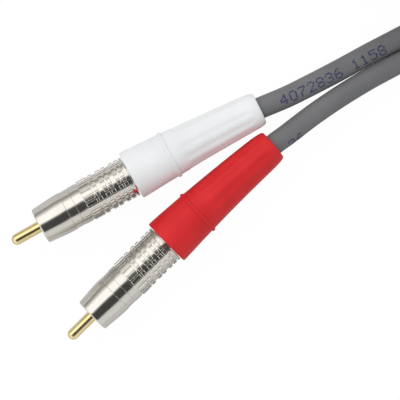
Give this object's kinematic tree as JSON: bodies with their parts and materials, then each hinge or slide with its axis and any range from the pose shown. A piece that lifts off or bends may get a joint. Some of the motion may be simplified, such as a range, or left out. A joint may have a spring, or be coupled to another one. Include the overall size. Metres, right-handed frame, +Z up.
{
  "type": "stereo audio cable",
  "caption": "Stereo phono cable: grey coaxial leads with knurled metal plugs and tapered white and red strain reliefs, the spare length wound in a tied hank.",
  "frame": {"origin": "under the middle of the two near plugs' bounding box, on the surface they lie on", "axes": "+X from the near plugs' pins towards their cables, +Y towards the white plug, +Z up"},
  "size_m": [0.2396, 0.0617, 0.0408],
  "materials": {
    "gold_plate": "gold-plated, polished",
    "nickel_plate": "bright nickel plate",
    "bare_copper": "bare copper",
    "bead_plastic": "moulded",
    "core_foam": "foamed, matt",
    "grey_jacket": "matt, printed",
    "white_boot_plastic": "soft moulded, satin",
    "red_boot_plastic": "soft moulded, satin",
    "strap_fabric": "woven hook and loop"
  },
  "bodies": {
    "root": {"white_pin": "gold_plate", "white_insulator": "bead_plastic", "white_shell": "nickel_plate", "white_ferrule": "nickel_plate", "white_boot": "white_boot_plastic", "white_core": "core_foam", "white_conductor": "bare_copper", "red_pin": "gold_plate", "red_insulator": "bead_plastic", "red_shell": "nickel_plate", "red_ferrule": "nickel_plate", "red_boot": "red_boot_plastic", "red_core": "core_foam", "red_conductor": "bare_copper", "far_white_pin": "gold_plate", "far_white_insulator": "bead_plastic", "far_white_shell": "nickel_plate", "far_white_ferrule": "nickel_plate", "far_white_boot": "white_boot_plastic", "far_white_core": "core_foam", "far_white_conductor": "bare_copper", "far_red_pin": "gold_plate", "far_red_insulator": "bead_plastic", "far_red_shell": "nickel_plate", "far_red_ferrule": "nickel_plate", "far_red_boot": "red_boot_plastic", "far_red_core": "core_foam", "far_red_conductor": "bare_copper", "white_cable": "grey_jacket", "red_cable": "grey_jacket", "white_coil": "grey_jacket", "red_coil": "grey_jacket", "white_tail": "grey_jacket", "red_tail": "grey_jacket", "coil_tie_1": "strap_fabric", "coil_tie_2": "strap_fabric"}
  },
  "joints": []
}
